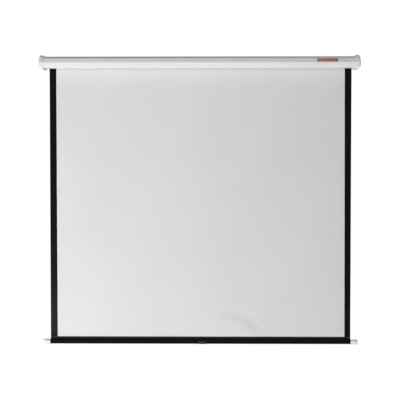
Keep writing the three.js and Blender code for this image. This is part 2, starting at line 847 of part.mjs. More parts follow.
// A clip round the hem, with a lip in front for the fingers.
function makeGrip() {
  const inner = hemOuter + fitGap;
  const outer = inner + gripWall;
  const steps = roundSides / 2;
  const arc = (radius) =>
    Array.from({ length: steps + 1 }, (_, i) => {
      const angle = gripFront + ((gripBack - gripFront) * i) / steps;
      return new THREE.Vector2(radius * Math.cos(angle), radius * Math.sin(angle));
    });
  const low = gripOffset - gripWidth / 2;
  const high = gripOffset + gripWidth / 2;
  const clip = alongX([...arc(outer), ...arc(inner).reverse()], low, high);
  const wallMiddle = (inner + outer) / 2;
  const rootAt = (up) => -Math.sqrt(wallMiddle ** 2 - up ** 2);
  const lipUnder = -lipBelow;
  const lipFloor = lipUnder + lipThickness;
  const lipTop = lipFloor + lipRise;
  const lipFront = -outer - lipReach;
  const lip = outline([
    [rootAt(lipUnder), lipUnder],
    [rootAt(lipFloor), lipFloor],
    [lipFront + lipThickness, lipFloor, lipThickness / 2],
    [lipFront + lipThickness, lipTop, lipThickness / 4],
    [lipFront, lipTop, lipThickness / 4],
    [lipFront, lipUnder, lipThickness],
  ]);
  place(bar, "pull_grip", join(clip, alongX(lip, low, high)), finish(0x101012, 0.5));
}

makeCase();
const axleHoles = {
  left: box(
    plateInner - overrun,
    plateOuter + overrun,
    -rollerSetback - spearThickness / 2 - fitGap,
    -rollerSetback + spearThickness / 2 + fitGap,
    -spearWidth / 2 - fitGap,
    spearWidth / 2 + fitGap,
  ),
  right: rod(bushRadius + fitGap, plateInner - overrun, plateOuter + overrun)
    .translate(0, -rollerSetback, 0),
};
[["left", leftSide], ["right", rightSide]].forEach(([name, side]) => {
  makeCap(side, name);
  makeBracket(side, name, axleHoles[name]);
  makeScrews(side, name);
  makeRivets(side, name);
});
makeLabel();
makeCloth();
makeWraps();
makeRollerTube();
makeLockPlug();
makeRatchet();
makePawls();
makeKeeper();
makeMandrel();
makeSpring();
makeDrive();
makeIdleEnd();
makeBar();
makeKnobs();
makeGrip();

export default projectionScreen;
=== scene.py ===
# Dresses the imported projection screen: painted case, moulded end caps, bordered cloth and hem bar.
# Metres, in the part's own frame: X along the case, the front faces -Y, the wall is Y = 0, Z is up.
import json
import math

import bmesh
import bpy
from mathutils import Matrix, Vector


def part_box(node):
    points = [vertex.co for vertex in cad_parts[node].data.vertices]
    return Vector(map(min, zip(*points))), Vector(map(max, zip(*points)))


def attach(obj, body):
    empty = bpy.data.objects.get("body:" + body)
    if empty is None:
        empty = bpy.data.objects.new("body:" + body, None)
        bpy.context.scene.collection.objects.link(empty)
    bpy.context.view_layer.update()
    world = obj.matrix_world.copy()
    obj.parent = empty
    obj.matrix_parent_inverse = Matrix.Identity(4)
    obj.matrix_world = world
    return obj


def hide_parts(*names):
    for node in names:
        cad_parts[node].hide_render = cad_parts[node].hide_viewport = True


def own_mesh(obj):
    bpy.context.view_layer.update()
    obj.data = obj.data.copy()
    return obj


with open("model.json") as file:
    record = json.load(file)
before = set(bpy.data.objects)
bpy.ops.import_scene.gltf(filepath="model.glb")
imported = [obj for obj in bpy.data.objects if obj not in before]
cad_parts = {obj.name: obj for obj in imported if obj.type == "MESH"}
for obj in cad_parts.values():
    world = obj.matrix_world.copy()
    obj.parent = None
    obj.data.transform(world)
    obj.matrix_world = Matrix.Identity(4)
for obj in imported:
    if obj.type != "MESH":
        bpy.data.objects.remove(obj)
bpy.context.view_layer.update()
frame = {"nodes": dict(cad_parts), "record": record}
print("frame loaded with", len(frame["nodes"]), "nodes")

mm = 0.001
alongX = Vector((1, 0, 0))


# Node helpers

def addNode(tree, kind, inputs=None, **settings):
    node = tree.nodes.new("ShaderNode" + kind)
    for name, value in settings.items():
        setattr(node, name, value)
    for name, value in (inputs or {}).items():
        if isinstance(value, bpy.types.NodeSocket):
            tree.links.new(value, node.inputs[name])
        else:
            node.inputs[name].default_value = value
    return node


def math2(tree, operation, first, second=0.0, third=0.0):
    return addNode(tree, "Math", {0: first, 1: second, 2: third}, operation=operation).outputs[0]


def blendColours(tree, factor, dark, light):
    mix = addNode(tree, "Mix", {0: factor, 6: dark, 7: light}, data_type="RGBA")
    return mix.outputs[2]


def ranged(tree, value, fromLow, fromHigh, toLow, toHigh):
    inputs = {0: value, 1: fromLow, 2: fromHigh, 3: toLow, 4: toHigh}
    return addNode(tree, "MapRange", inputs).outputs[0]


def grainNoise(tree, place, scale, detail=2.0, stretch=(1, 1, 1)):
    if stretch != (1, 1, 1):
        place = addNode(tree, "Mapping", {"Vector": place, "Scale": stretch}).outputs[0]
    return addNode(tree, "TexNoise", {"Vector": place, "Scale": scale, "Detail": detail}).outputs[0]


def patchy(tree, place, scale, detail=2.0, low=0.0, high=1.0):
    # Soft patches of noise over a range of values
    return ranged(tree, grainNoise(tree, place, scale, detail), 0.3, 0.7, low, high)


def objectPlace(tree):
    return addNode(tree, "TexCoord").outputs["Object"]


def bumped(tree, height, depth, strength=1.0, under=None):
    inputs = {"Height": height, "Distance": depth, "Strength": strength}
    if under is not None:
        inputs["Normal"] = under
    return addNode(tree, "Bump", inputs).outputs[0]


def shaderMaterial(name, values):
    material = bpy.data.materials.new(name)
    material.use_nodes = True
    shader = material.node_tree.nodes["Principled BSDF"]
    for socket, value in values.items():
        shader.inputs[socket].default_value = value
    return material, material.node_tree, shader


def shade(colour, factor=1.0):
    return (*(channel * factor for channel in colour[:3]), 1.0)


# Finishes

def mouldedFinish(name, look):
    # Paint or plastic: faint clouding of the colour, uneven gloss and a fine surface grain
    material, tree, shader = shaderMaterial(name, look["sockets"])
    place = objectPlace(tree)
    cloud = patchy(tree, place, look["cloudScale"], 3.0)
    colour = blendColours(tree, cloud, shade(look["colour"], 1 - look["cloud"]), shade(look["colour"]))
    tree.links.new(colour, shader.inputs["Base Color"])
    gloss = patchy(tree, place, look["glossScale"], 2.0, *look["gloss"])
    tree.links.new(gloss, shader.inputs["Roughness"])
    grain = grainNoise(tree, place, look["grainScale"], 1.0)
    tree.links.new(bumped(tree, grain, look["grainDepth"], 0.6), shader.inputs["Normal"])
    return material


def metalFinish(name, look):
    # Steel: brushed or drawn along X, with soft stains
    material, tree, shader = shaderMaterial(name, {"Metallic": 1.0})
    place = objectPlace(tree)
    stain = grainNoise(tree, place, look["stainScale"], 4.0)
    tone = ranged(tree, stain, 0.35, 0.65, 0.0, 1.0)
    colour = blendColours(tree, tone, shade(look["colour"], 1 - look["stain"]), shade(look["colour"]))
    tree.links.new(colour, shader.inputs["Base Color"])
    low, high = look["gloss"]
    tree.links.new(ranged(tree, stain, 0.3, 0.7, high, low), shader.inputs["Roughness"])
    brush = grainNoise(tree, place, look["brushScale"], 2.0, look["brushStretch"])
    tree.links.new(bumped(tree, brush, look["brushDepth"], 0.5), shader.inputs["Normal"])
    return material


casePaint = mouldedFinish("casePaint", {
    "colour": (0.875, 0.885, 0.89), "cloud": 0.03, "cloudScale": 3.5,
    "gloss": (0.36, 0.46), "glossScale": 25.0, "grainScale": 700.0, "grainDepth": 0.05 * mm,
    "sockets": {"Specular IOR Level": 0.3, "Specular Tint": (0.35, 0.35, 0.36, 1)},
})
capPlastic = mouldedFinish("capPlastic", {
    "colour": (0.88, 0.88, 0.88), "cloud": 0.04, "cloudScale": 18.0,
    "gloss": (0.42, 0.55), "glossScale": 60.0, "grainScale": 1500.0, "grainDepth": 0.08 * mm,
    "sockets": {"Specular IOR Level": 0.3, "Specular Tint": (0.35, 0.35, 0.36, 1)},
})
knobPlastic = mouldedFinish("knobPlastic", {
    "colour": (0.82, 0.82, 0.82), "cloud": 0.05, "cloudScale": 40.0,
    "gloss": (0.25, 0.36), "glossScale": 80.0, "grainScale": 1600.0, "grainDepth": 0.05 * mm,
    "sockets": {"Specular IOR Level": 0.5},
})
gripPlastic = mouldedFinish("gripPlastic", {
    "colour": (0.012, 0.012, 0.013), "cloud": 0.25, "cloudScale": 60.0,
    "gloss": (0.4, 0.55), "glossScale": 90.0, "grainScale": 1400.0, "grainDepth": 0.12 * mm,
    "sockets": {"Specular IOR Level": 0.3},
})
nylonPlastic = mouldedFinish("nylonPlastic", {
    "colour": (0.72, 0.69, 0.61), "cloud": 0.08, "cloudScale": 50.0,
    "gloss": (0.35, 0.5), "glossScale": 70.0, "grainScale": 1200.0, "grainDepth": 0.06 * mm,
    "sockets": {"Specular IOR Level": 0.4, "Subsurface Weight": 0.1, "Subsurface Scale": 2 * mm},
})
labelFilm = mouldedFinish("labelFilm", {
    "colour": (0.57, 0.165, 0.185), "cloud": 0.06, "cloudScale": 30.0,
    "gloss": (0.3, 0.4), "glossScale": 50.0, "grainScale": 900.0, "grainDepth": 0.03 * mm,
    "sockets": {"Specular IOR Level": 0.3},
})
zincPlate = metalFinish("zincPlate", {
    "colour": (0.66, 0.68, 0.69), "stain": 0.12, "stainScale": 35.0, "gloss": (0.28, 0.45),
    "brushScale": 60.0, "brushStretch": (1, 18, 18), "brushDepth": 0.05 * mm,
})
darkSteel = metalFinish("darkSteel", {
    "colour": (0.26, 0.265, 0.27), "stain": 0.3, "stainScale": 55.0, "gloss": (0.35, 0.6),
    "brushScale": 80.0, "brushStretch": (1, 12, 12), "brushDepth": 0.08 * mm,
})


wavePeriod = math.pi / 10  # of Blender's wave texture at scale 1, in metres


def weaveHeight(tree, place, period):
    # Two crossed sets of threads with a little unevenness
    heights = []
    for direction in ("X", "Z"):
        inputs = {"Vector": place, "Scale": wavePeriod / period, "Distortion": 0.6, "Detail": 1.0}
        heights.append(addNode(tree, "TexWave", inputs, bands_direction=direction).outputs["Fac"])
    threads = math2(tree, "ADD", *heights)
    coating = grainNoise(tree, place, 0.35 / period, 3.0)
    return math2(tree, "MULTIPLY_ADD", coating, 1.5, threads)


clothLook = {
    "white": (0.715, 0.72, 0.725), "cloud": 0.03, "cloudScale": 2.2,
    "gloss": (0.78, 0.88), "glossScale": 40.0,
    "specular": 0.045, "threadPeriod": 1.3 * mm, "threadDepth": 0.06 * mm,
    "black": (0.003, 0.003, 0.0034), "blackCloud": (0.8, 1.3), "blackCloudScale": 6.0,
    "blackGloss": (0.25, 0.37), "blackGlossScale": 30.0, "borderGloss": 0.3,
    "leftBorder": (41.4 * mm, 39.8 * mm), "rightBorder": (34.8 * mm, 40.5 * mm),  # foot, top
    "edgeBlur": 0.3 * mm,
    # The welded neck's lighter grey is a painted sheen for the glint of its ribs
    "weldSheenGrey": (0.022, 0.022, 0.023), "ribPeriod": 2.2 * mm, "ribDepth": 0.25 * mm,
}


def screenFaceFinish(look, width):
    # White coated cloth with its black side borders printed by the UV map
    material, tree, shader = shaderMaterial("screenFace", {"Specular IOR Level": look["specular"]})
    place = objectPlace(tree)
    across = addNode(tree, "SeparateXYZ", {0: addNode(tree, "UVMap", uv_map="clothMap").outputs[0]})
    fromLeft = math2(tree, "MULTIPLY", across.outputs[0], width)
    fromRight = math2(tree, "SUBTRACT", width, fromLeft)
    masks = []
    for inward, widths in ((fromLeft, look["leftBorder"]), (fromRight, look["rightBorder"])):
        borderHere = ranged(tree, across.outputs[1], 0.0, 1.0, *widths)
        beyond = math2(tree, "SUBTRACT", inward, borderHere)
        masks.append(ranged(tree, beyond, 0.0, look["edgeBlur"], 1.0, 0.0))
    border = math2(tree, "MAXIMUM", *masks)
    cloud = patchy(tree, place, look["cloudScale"], 3.0)
    white = blendColours(tree, cloud, shade(look["white"], 1 - look["cloud"]), shade(look["white"]))
    colour = blendColours(tree, border, white, shade(look["black"]))
    tree.links.new(colour, shader.inputs["Base Color"])
    matte = patchy(tree, place, look["glossScale"], 2.0, *look["gloss"])
    gloss = addNode(tree, "Mix", {0: border, 2: matte, 3: look["borderGloss"]}, data_type="FLOAT")
    tree.links.new(gloss.outputs[0], shader.inputs["Roughness"])
    weave = weaveHeight(tree, place, look["threadPeriod"])
    tree.links.new(bumped(tree, weave, look["threadDepth"], 0.5), shader.inputs["Normal"])
    return material


def blackClothFinish(name, look, ribbed=False):
    # The same cloth in black: the backing and the hem, whose welded neck is ribbed and painted a
    # lighter grey, a painted sheen standing in for the glint of its ribs
    material, tree, shader = shaderMaterial(name, {"Specular IOR Level": look["specular"]})
    place = objectPlace(tree)
    cloud = patchy(tree, place, look["blackCloudScale"], 4.0)
    dark, light = look["blackCloud"]
    colour = blendColours(tree, cloud, shade(look["black"], dark), shade(look["black"], light))
    if ribbed:
        mark = addNode(tree, "Attribute", attribute_name="weldBand").outputs["Fac"]
        # Painted sheen: the welded neck is blended to a lighter grey to stand in for light glinting off
        # its ribs
        colour = blendColours(tree, mark, colour, shade(look["weldSheenGrey"]))
    tree.links.new(colour, shader.inputs["Base Color"])
    gloss = patchy(tree, place, look["blackGlossScale"], 2.0, *look["blackGloss"])
    tree.links.new(gloss, shader.inputs["Roughness"])
    weave = weaveHeight(tree, place, look["threadPeriod"])
    normal = bumped(tree, weave, look["threadDepth"], 0.5)
    if ribbed:
        inputs = {"Vector": place, "Scale": wavePeriod / look["ribPeriod"]}
        ribs = addNode(tree, "TexWave", inputs, bands_direction="X").outputs["Fac"]
        normal = bumped(tree, math2(tree, "MULTIPLY", ribs, mark), look["ribDepth"], 0.8, normal)
    tree.links.new(normal, shader.inputs["Normal"])
    return material


# Mesh helpers

def wireOf(bm, corners, x=0.0, closed=False, segments=8):
    # Joined edges through corners (y, z, radius), each radius then rounded
    made = [(bm.verts.new((x, y, z)), radius) for y, z, radius in corners]
    order = [vert for vert, _ in made]
    pairs = list(zip(order, order[1:])) + ([(order[-1], order[0])] if closed else [])
    for first, second in pairs:
        bm.edges.new((first, second))
    for vert, radius in made:
        if radius > 0:
            roundCorner(bm, vert, radius, segments)


def roundCorner(bm, vert, radius, segments):
    arms = [edge.other_vert(vert).co - vert.co for edge in vert.link_edges]
    setback = radius / math.tan(arms[0].angle(arms[1]) / 2)
    bmesh.ops.bevel(bm, geom=[vert], offset=setback, segments=segments, profile=0.5,
                    affect="VERTICES", material=-1)


def pickOut(parts, kind):
    return [part for part in parts if isinstance(part, kind)]


def pulled(bm, edges, move):
    # Extrudes edges by a vector and returns the new edges
    made = bmesh.ops.extrude_edge_only(bm, edges=edges)["geom"]
    bmesh.ops.translate(bm, vec=move, verts=pickOut(made, bmesh.types.BMVert))
    return pickOut(made, bmesh.types.BMEdge)


def prism(bm, faces, move):
    made = bmesh.ops.extrude_face_region(bm, geom=faces)["geom"]
    bmesh.ops.translate(bm, vec=move, verts=pickOut(made, bmesh.types.BMVert))


def softenEdges(bm, width, segments=2, sharper=35):
    edges = [edge for edge in bm.edges
             if len(edge.link_faces) == 2 and edge.calc_face_angle() > math.radians(sharper)]
    bmesh.ops.bevel(bm, geom=edges, offset=width, segments=segments, profile=0.5,
                    affect="EDGES", material=-1, clamp_overlap=True)


def slicedAt(bm, points, across):
    # Cuts the mesh by a plane through each point, square to the direction given
    for point in points:
        whole = bm.verts[:] + bm.edges[:] + bm.faces[:]
        bmesh.ops.bisect_plane(bm, geom=whole, plane_co=point, plane_no=across)


def boxIn(bm, low, high):
    size = Vector(high) - Vector(low)
    matrix = Matrix.Translation((Vector(low) + Vector(high)) / 2) @ Matrix.Diagonal((*size, 1))
    bmesh.ops.create_cube(bm, size=1.0, matrix=matrix)


def rodIn(bm, radius, fromX, toX, y, z, sides=48):
    matrix = Matrix.Translation(((fromX + toX) / 2, y, z)) @ Matrix.Rotation(math.pi / 2, 4, "Y")
    bmesh.ops.create_cone(bm, cap_ends=True, segments=sides, radius1=radius, radius2=radius,
                          depth=abs(toX - fromX), matrix=matrix)


smoothBelow = math.radians(40)


def meshObject(name, bm):
    mesh = bpy.data.meshes.new(name)
    bm.edges.index_update()
    rims = [edge.index for edge in bm.edges if edge.is_boundary]
    bm.to_mesh(mesh)
    bm.free()
    mesh.polygons.foreach_set("use_smooth", [True] * len(mesh.polygons))
    mesh.set_sharp_from_angle(angle=smoothBelow)
    for index in rims:
        mesh.edges[index].use_edge_sharp = True
    piece = bpy.data.objects.new(name, mesh)
    bpy.context.scene.collection.objects.link(piece)
    return piece


def applyModifiers(piece):
    graph = bpy.context.evaluated_depsgraph_get()
    shaped = bpy.data.meshes.new_from_object(piece.evaluated_get(graph), depsgraph=graph)
    piece.modifiers.clear()
    shaped.set_sharp_from_angle(angle=smoothBelow)
    piece.data = shaped


def carve(piece, cutter, operation="DIFFERENCE"):
    modifier = piece.modifiers.new("carve", "BOOLEAN")
    modifier.operation = operation
    modifier.solver = "EXACT"
    modifier.object = cutter
    applyModifiers(piece)
    bpy.data.objects.remove(cutter)


def thicken(piece, thickness, offset=-1.0):
    modifier = piece.modifiers.new("thickness", "SOLIDIFY")
    modifier.thickness = thickness
    modifier.offset = offset
    modifier.use_even_offset = True
    return modifier


def dress(piece, body, materials, nodes):
    for material in materials:
        piece.data.materials.append(material)
    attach(piece, body)
    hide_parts(*nodes)


def copyOfNode(name, node, width, segments=2):
    # A welded copy of a CAD node with its flat faces whole and its edges softened
    bm = bmesh.new()
    bm.from_mesh(frame["nodes"][node].data)
    bmesh.ops.remove_doubles(bm, verts=bm.verts, dist=0.002 * mm)
    bmesh.ops.dissolve_limit(bm, angle_limit=math.radians(0.5), verts=bm.verts, edges=bm.edges)
    softenEdges(bm, width, segments)
    return meshObject(name, bm)


# Case: one bent steel channel with a slot along its underside

caseValues = {
    "wall": 1.2 * mm, "crease": -5 * mm,
    "slope": math.radians(25), "facet": math.radians(54), "facetHeight": 13.5 * mm,
    "topRadius": 4 * mm, "lowerRadius": 3 * mm, "creaseRadius": 2.5 * mm, "backRadius": 2 * mm,
    "bendSegments": 8, "slotWidth": 16 * mm, "lipHeight": 6 * mm, "lipRadius": 1.6 * mm,
}
clothThickness = 0.4 * mm
caseLow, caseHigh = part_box("case_shell")
clothLow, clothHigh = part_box("screen_cloth")
clothY = clothHigh.y - clothThickness / 2


def casedCorners(top, bottom, front, topRadius, lowerRadius, values, grown=0.0):
    # Back, flat top, narrow top face, sloping face, crease and upright lower face, grown all round
    slope, facet = values["slope"], values["facet"]
    foot = top - values["facetHeight"]
    footY = front + (foot - values["crease"]) * math.tan(slope)
    lift = grown * (1 / math.cos(facet) - 1 / math.cos(slope)) / (math.tan(facet) - math.tan(slope))
    topY = footY + (values["facetHeight"] + grown) * math.tan(facet) - grown / math.cos(facet)
    return [
        (grown, bottom - grown, values["backRadius"]),
        (grown, top + grown, values["backRadius"]),
        (topY, top + grown, topRadius + grown),
        (footY - grown / math.cos(slope) + lift * math.tan(slope), foot + lift, topRadius + grown),
        (front - grown, values["crease"] + grown * math.tan(slope / 2), values["creaseRadius"]),
        (front - grown, bottom - grown, lowerRadius + grown),
    ]


def makeCase(values):
    bm = bmesh.new()
    slotBack = clothY + values["slotWidth"] / 2
    slotFront = clothY - values["slotWidth"] / 2
    lipTop = caseLow.z + values["lipHeight"]
    around = casedCorners(caseHigh.z, caseLow.z, caseLow.y, values["topRadius"],
                          values["lowerRadius"], values)
    corners = [
        (slotBack, lipTop, 0),
        (slotBack, caseLow.z, values["lipRadius"]),
        *around,
        (slotFront, caseLow.z, values["lipRadius"]),
        (slotFront, lipTop, 0),
    ]
    wireOf(bm, corners, x=caseLow.x, segments=values["bendSegments"])
    pulled(bm, bm.edges[:], Vector((caseHigh.x - caseLow.x, 0, 0)))
    front = min(bm.faces, key=lambda face: face.calc_center_median().y)
    bmesh.ops.recalc_face_normals(bm, faces=bm.faces)
    if front.normal.y > 0:
        bmesh.ops.reverse_faces(bm, faces=bm.faces)
    piece = meshObject("case_channel", bm)
    thicken(piece, values["wall"])
    applyModifiers(piece)
    dress(piece, "housing", [casePaint], ["case_shell"])


# End caps: hollow mouldings whose section swells from the collar and rounds in to the end

capValues = {
    "wall": 2.2 * mm, "gap": 0.3 * mm, "caseGap": 0.2 * mm, "softEdge": 0.4 * mm,
    "collarRise": 1.4 * mm, "collarProud": 0.9 * mm, "ringWidth": 24 * mm, "ringStep": 1.5 * mm,
    "grooveWidth": 2.6 * mm, "grooveDepth": 1.2 * mm, "grooveSlant": 0.3 * mm,
    "bendFrom": -12 * mm, "bendRadius": 64 * mm, "bendRows": 6,
    "upperRadius": 8 * mm, "frontRadius": 8 * mm, "lowerRadius": 20 * mm, "lowerStretch": 1.4,
    "endSteps": 12,
    "sectionTopRadius": 6 * mm, "sectionLowerRadius": 5 * mm, "sectionSegments": 8,
    "bossRadius": 5.5 * mm, "bossFrom": 928.6 * mm, "boreRadius": 1.95 * mm, "boreFrom": 920 * mm,
    "screwHole": 3.8 * mm, "screwSink": 2.4 * mm,
    "wallOpening": (-22 * mm, 34 * mm),  # heights round the bracket's keyhole leg
    "ceilingOpening": (-34 * mm, -8 * mm), "ceilingLeg": 6 * mm, "ceilingHeights": (30 * mm, 45 * mm),
}


def roundedIn(radius, inside):
    # How far a quarter round of that radius has dropped, so far inside its end
    if inside >= radius:
        return 0.0
    return radius - math.sqrt(max(0.0, radius ** 2 - (radius - inside) ** 2))


def capSolid(values, inset=0.0):
    # The cap's filled form, a collar that swells to a groove and a ring; with an inset, its hollow
    low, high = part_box("end_cap_right")
    top, bottom, front, end = high.z - inset, low.z + inset, low.y + inset, high.x - inset
    start, ringStart, crease = low.x, high.x - values["ringWidth"], caseValues["crease"]
    grooveStart, grooveEnd = ringStart - values["grooveWidth"], ringStart - values["grooveSlant"]
    upperRadius, lowerRadius, frontRadius = (values[key] - inset
                                             for key in ("upperRadius", "lowerRadius", "frontRadius"))
    near = 0.01 * mm
    bm = bmesh.new()
    corners = casedCorners(top, bottom, front, values["sectionTopRadius"] - inset,
                           values["sectionLowerRadius"] - inset, caseValues)
    wireOf(bm, corners, x=start, closed=True, segments=values["sectionSegments"])
    bmesh.ops.contextual_create(bm, geom=bm.edges[:])
    prism(bm, bm.faces[:], Vector((end - start, 0, 0)))
    roundStart = end - max(frontRadius, lowerRadius)
    turns = [math.radians(90 * step / values["endSteps"]) for step in range(1, values["endSteps"])]
    stations = [roundStart + (end - roundStart) * math.sin(turn) for turn in turns]
    stations += [grooveEnd, ringStart]
    if not inset:
        stations += [grooveStart - values["grooveSlant"], grooveStart]
    slicedAt(bm, [(x, 0, 0) for x in stations], (1, 0, 0))
    rows = [values["bendFrom"] + (bottom - values["bendFrom"]) * row / values["bendRows"]
            for row in range(values["bendRows"])]
    slicedAt(bm, [(0, 0, z) for z in rows], (0, 0, 1))
    for vert in bm.verts:
        x, y, z = vert.co
        collar = 1 - min(1.0, (x - start) / (ringStart - start))
        sunk = values["ringStep"] if x < ringStart - near else 0.0
        if not inset and grooveStart - near < x < grooveEnd + near:
            sunk += values["grooveDepth"]
        topHere = top - collar * (high.z - sunk - caseHigh.z - values["collarRise"]) - sunk
        topHere -= roundedIn(upperRadius, end - x)
        bottomHere = bottom + collar * (caseLow.z - values["collarRise"] - low.z - sunk) + sunk
        bottomHere += roundedIn(lowerRadius, end - x) * values["lowerStretch"]
        frontHere = front + collar * (caseLow.y - values["collarProud"] - low.y - sunk) + sunk
        frontHere += roundedIn(frontRadius, end - x)
        limit, limitHere = (top, topHere) if z > crease else (bottom, bottomHere)
        newZ = crease + (z - crease) * (limitHere - crease) / (limit - crease)
        if inset:
            mouth = x if x > start + near else start - 1 * mm
            vert.co = (mouth, y * (frontHere + inset) / front - inset, newZ)
            continue
        if grooveStart - 1.1 * values["grooveSlant"] < x < ringStart + near:
            # The groove turns in towards the case at its foot
            radius = values["bendRadius"]
            x -= roundedIn(radius, radius - max(0.0, values["bendFrom"] - newZ))
        vert.co = (x, y * frontHere / front, newZ)
    bmesh.ops.recalc_face_normals(bm, faces=bm.faces)
    return bm


def makeCap(side, values):
    # Both caps are shaped at the right end, and the left one is then mirrored
    low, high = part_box("end_cap_right")
    start, end = low.x, high.x
    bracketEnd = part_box("bracket_right")[1].x
    gap, beyond = values["gap"], 5 * mm  # how far a cutter reaches past what it cuts
    piece = meshObject("cap_" + side, capSolid(values))
    carve(piece, meshObject("cap_hollow", capSolid(values, values["wall"])))

    caseForm = casedCorners(caseHigh.z, caseLow.z, caseLow.y, caseValues["topRadius"],
                            caseValues["lowerRadius"], caseValues, values["caseGap"])
    cutter = bmesh.new()
    wireOf(cutter, caseForm, x=start - beyond, closed=True)
    cutter.faces.new(orderedLoop(cutter))
    prism(cutter, cutter.faces[:], Vector((caseHigh.x + gap - start + beyond, 0, 0)))
    bmesh.ops.recalc_face_normals(cutter, faces=cutter.faces)
    carve(piece, meshObject("case_cutter", cutter))

    lower, upper = values["wallOpening"]
    cutter = bmesh.new()
    boxIn(cutter, (start - beyond, -values["wall"] - gap, lower - gap),
          (bracketEnd + gap, beyond, upper + gap))
    carve(piece, meshObject("wall_cutter", cutter))
    front, back = values["ceilingOpening"]
    lower, upper = values["ceilingHeights"]
    cutter = bmesh.new()
    boxIn(cutter, (caseHigh.x - gap, front - gap, lower),
          (bracketEnd - values["ceilingLeg"] + gap, back + gap, upper))
    carve(piece, meshObject("ceiling_cutter", cutter))
    for name in ("upper", "lower"):
        screwLow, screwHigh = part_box("cap_screw_right_" + name)
        y, z = (screwLow.y + screwHigh.y) / 2, (screwLow.z + screwHigh.z) / 2
        boss = bmesh.new()
        rodIn(boss, values["bossRadius"], values["bossFrom"], end - values["wall"] / 2, y, z)
        carve(piece, meshObject("boss", boss), "UNION")
        hole = bmesh.new()
        rodIn(hole, values["boreRadius"], values["boreFrom"], end + beyond, y, z, sides=32)
        carve(piece, meshObject("hole_cutter", hole))
        hole = bmesh.new()
        rodIn(hole, values["screwHole"], end - values["screwSink"], end + beyond, y, z)
        carve(piece, meshObject("recess_cutter", hole))
    bm = bmesh.new()
    bm.from_mesh(piece.data)
    bmesh.ops.remove_doubles(bm, verts=bm.verts, dist=0.005 * mm)
    bmesh.ops.dissolve_degenerate(bm, dist=0.005 * mm, edges=bm.edges)
    softenEdges(bm, values["softEdge"], sharper=40)
    if side == "left":
        bmesh.ops.scale(bm, vec=(-1, 1, 1), verts=bm.verts)
        bmesh.ops.reverse_faces(bm, faces=bm.faces)
    bpy.data.objects.remove(piece)
    piece = meshObject("cap_" + side, bm)
    for face in piece.data.polygons:
        if abs(face.normal.x) > 0.999:
            face.use_smooth = False  # keeps the flat end even round the screws
    dress(piece, "housing", [capPlastic], ["end_cap_" + side])


def orderedLoop(bm):
    # The verts of a single closed wire, in order
    bm.verts.ensure_lookup_table()
    order = [bm.verts[0]]
    edge = order[0].link_edges[0]
    while True:
        following = edge.other_vert(order[-1])
        if following is order[0]:
            return order
        order.append(following)
        edge = next(other for other in following.link_edges if other is not edge)


makeCase(caseValues)
print("case made")
for capSide in ("left", "right"):
    makeCap(capSide, capValues)
print("caps made")


# Cap screws with a cross recess, and the rivets that hold the brackets to the case

screwValues = {
    "headRadius": 3.6 * mm, "headHeight": 2 * mm, "shank": 1.75 * mm, "round": 0.7 * mm,
    "slotWidth": 0.9 * mm, "slotLength": 4.4 * mm, "slotDepth": 1.2 * mm,
}
rivetValues = {
    "shank": 2 * mm, "seat": 0.3 * mm, "rim": 0.5 * mm, "crown": 0.45,  # of the head's radius
    "bore": 1.1 * mm, "boreDepth": 1 * mm,
}
bracketValues = {"softEdge": 0.3 * mm}


def turnedPiece(name, profile, fromX, y, z, facing=1, steps=40, roundings=()):
    # A profile of (x, radius) spun round a line along X
    bm = bmesh.new()
    verts = [bm.verts.new((fromX + facing * x, y, z + radius)) for x, radius in profile]
    for first, second in zip(verts, verts[1:]):
        bm.edges.new((first, second))
    for index, radius in roundings:
        roundCorner(bm, verts[index], radius, 4)
    bmesh.ops.spin(bm, geom=bm.verts[:] + bm.edges[:], cent=(0, y, z), axis=alongX,
                   angle=2 * math.pi, steps=steps, use_merge=True)
    bmesh.ops.remove_doubles(bm, verts=bm.verts, dist=0.001 * mm)
    bmesh.ops.recalc_face_normals(bm, faces=bm.faces)
    return meshObject(name, bm)


def makeScrews(values):
    for side, facing in (("left", -1), ("right", 1)):
        for name in ("upper", "lower"):
            node = f"cap_screw_{side}_{name}"
            low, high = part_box(node)
            y, z = (low.y + high.y) / 2, (low.z + high.z) / 2
            tip, seat = (low.x, high.x) if facing > 0 else (high.x, low.x)
            length = abs(seat - tip)
            head = length - values["headHeight"]
            profile = [(0, 0), (values["shank"], values["shank"]), (head, values["shank"]),
                       (head, values["headRadius"]), (length, values["headRadius"]), (length, 0)]
            piece = turnedPiece("screw_" + side + "_" + name, profile, tip, y, z, facing,
                                roundings=[(4, values["round"])])
            beyond = 2 * mm  # how far the slot's cutter stands out of the head
            near, far = sorted((seat - facing * values["slotDepth"], seat + facing * beyond))
            long, narrow = values["slotLength"], values["slotWidth"]
            for across, up in ((long, narrow), (narrow, long)):
                slot = bmesh.new()
                boxIn(slot, (near, y - across / 2, z - up / 2), (far, y + across / 2, z + up / 2))
                carve(piece, meshObject("slot_cutter", slot))
            dress(piece, "housing", [darkSteel], [node])


def makeRivets(values):
    for side in ("left", "right"):
        for name in ("back", "front"):
            node = f"case_rivet_{side}_{name}"
            low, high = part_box(node)
            middle = (low + high) / 2
            headRadius = (high.x - low.x) / 2
            headStart = caseHigh.z + values["seat"]
            boreFoot = high.z - values["boreDepth"]
            shank, bore = values["shank"], values["bore"]
            profile = [
                (low.z, 0), (low.z, shank), (headStart, shank), (headStart, headRadius),
                (headStart + values["rim"], headRadius), (high.z, headRadius * values["crown"]),
                (high.z, bore), (boreFoot, bore), (boreFoot, 0),
            ]
            piece = turnedPiece("rivet_" + side + "_" + name, profile, 0, 0, 0)
            turn = Matrix.Translation((middle.x, middle.y, 0)) @ Matrix.Rotation(-math.pi / 2, 4, "Y")
            piece.data.transform(turn)
            dress(piece, "housing", [zincPlate], [node])


makeScrews(screwValues)
makeRivets(rivetValues)
for capSide in ("left", "right"):
    bracket = copyOfNode("hanger_" + capSide, "bracket_" + capSide, bracketValues["softEdge"])
    dress(bracket, "housing", [zincPlate], ["bracket_" + capSide])
print("screws, rivets and brackets made")


# Plain label bar, a rounded film on the sloping face

